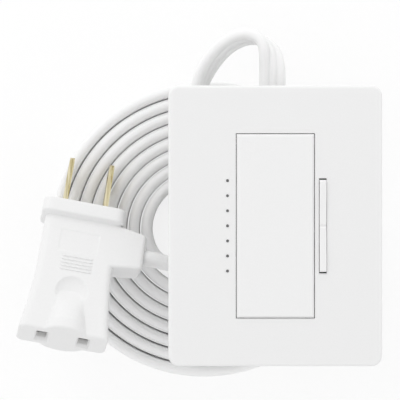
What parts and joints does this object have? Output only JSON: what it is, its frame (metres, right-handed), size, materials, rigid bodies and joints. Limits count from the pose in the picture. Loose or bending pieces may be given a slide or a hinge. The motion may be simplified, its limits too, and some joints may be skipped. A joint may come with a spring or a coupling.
{
  "type": "plug-in lamp dimmer",
  "caption": "Tabletop lamp dimmer with a tap paddle, a raise and lower rocker and indicator dots, on a coiled flat cord that ends in a plug with a receptacle.",
  "frame": {"origin": "centre of the dimmer's own box, from the rubber feet to the rocker's top, without its cord and plug", "axes": "+Z out of the face, +Y along the face to the end that the cord leaves, +X to the rocker's side"},
  "size_m": [0.112, 0.1105, 0.0431],
  "materials": {
    "cover_plastic": "satin moulded",
    "housing_plastic": "fine moulded grain",
    "paddle_plastic": "satin moulded",
    "rocker_plastic": "satin moulded",
    "light_pipe_plastic": "smoked translucent",
    "foot_rubber": "matt",
    "screw_steel": "zinc plated",
    "board_laminate": "solder mask",
    "black_plastic": "moulded",
    "lamp_resin": "clear",
    "sink_aluminium": "mill finish",
    "ferrite": "coated core",
    "copper_wire": "enamelled",
    "film_epoxy": "smooth",
    "can_sleeve": "sleeved",
    "varistor_epoxy": "dipped",
    "fuse_glass": "clear",
    "resistor_lacquer": "lacquered",
    "cord_vinyl": "soft satin",
    "plug_vinyl": "soft satin",
    "blade_brass": "bright"
  },
  "bodies": {
    "dimmer": {"front_cover": "cover_plastic", "rear_housing": "housing_plastic", "rubber_feet": "foot_rubber", "housing_screws": "screw_steel", "light_pipe": "light_pipe_plastic", "indicator_lamps": "lamp_resin", "control_board": "board_laminate", "microcontroller": "black_plastic", "switch_bodies": "black_plastic", "board_header": "black_plastic", "power_board": "board_laminate", "board_screws": "screw_steel", "heat_sink": "sink_aluminium", "triac": "black_plastic", "triac_screw": "screw_steel", "choke_core": "ferrite", "choke_winding": "copper_wire", "film_capacitor": "film_epoxy", "electrolytic_capacitor": "can_sleeve", "varistor": "varistor_epoxy", "fuse": "fuse_glass", "resistors": "resistor_lacquer", "inner_leads": "cord_vinyl", "strain_relief": "cord_vinyl", "cord_loop": "cord_vinyl", "cord_coil": "cord_vinyl", "cord_tail": "cord_vinyl", "plug_body": "plug_vinyl", "neutral_blade": "blade_brass", "hot_blade": "blade_brass", "hot_contact": "blade_brass", "plug_leads": "copper_wire"},
    "paddle": {"tap_paddle": "paddle_plastic"},
    "rocker": {"dimming_rocker": "rocker_plastic"},
    "tap_button": {"tap_plunger": "black_plastic"},
    "raise_button": {"raise_plunger": "black_plastic"},
    "lower_button": {"lower_plunger": "black_plastic"}
  },
  "joints": [
    {"name": "paddle_press", "type": "hinge", "parent": "dimmer", "child": "paddle", "pos_m": [0, 0.0254, 0.01215], "axis": [1, 0, 0], "range_deg": [0, 0.9], "stiffness_Nm_per_rad": 1.5, "springref_deg": -1.15},
    {"name": "rocker_tilt", "type": "hinge", "parent": "dimmer", "child": "rocker", "pos_m": [0.0142, 0, 0.01195], "axis": [1, 0, 0], "range_deg": [-2.5, 2.5], "stiffness_Nm_per_rad": 0.1},
    {"name": "tap_travel", "type": "slide", "parent": "dimmer", "child": "tap_button", "axis": [0, 0, -1], "range_m": [0, 0.00055]},
    {"name": "raise_travel", "type": "slide", "parent": "dimmer", "child": "raise_button", "axis": [0, 0, -1], "range_m": [-0.0004, 0.0004]},
    {"name": "lower_travel", "type": "slide", "parent": "dimmer", "child": "lower_button", "axis": [0, 0, -1], "range_m": [-0.0004, 0.0004]}
  ],
  "couplings": [
    {"joint": "tap_travel", "follows": "paddle_press", "m_per_rad": 0.0334},
    {"joint": "raise_travel", "follows": "rocker_tilt", "m_per_rad": -0.009},
    {"joint": "lower_travel", "follows": "rocker_tilt", "m_per_rad": 0.009}
  ]
}
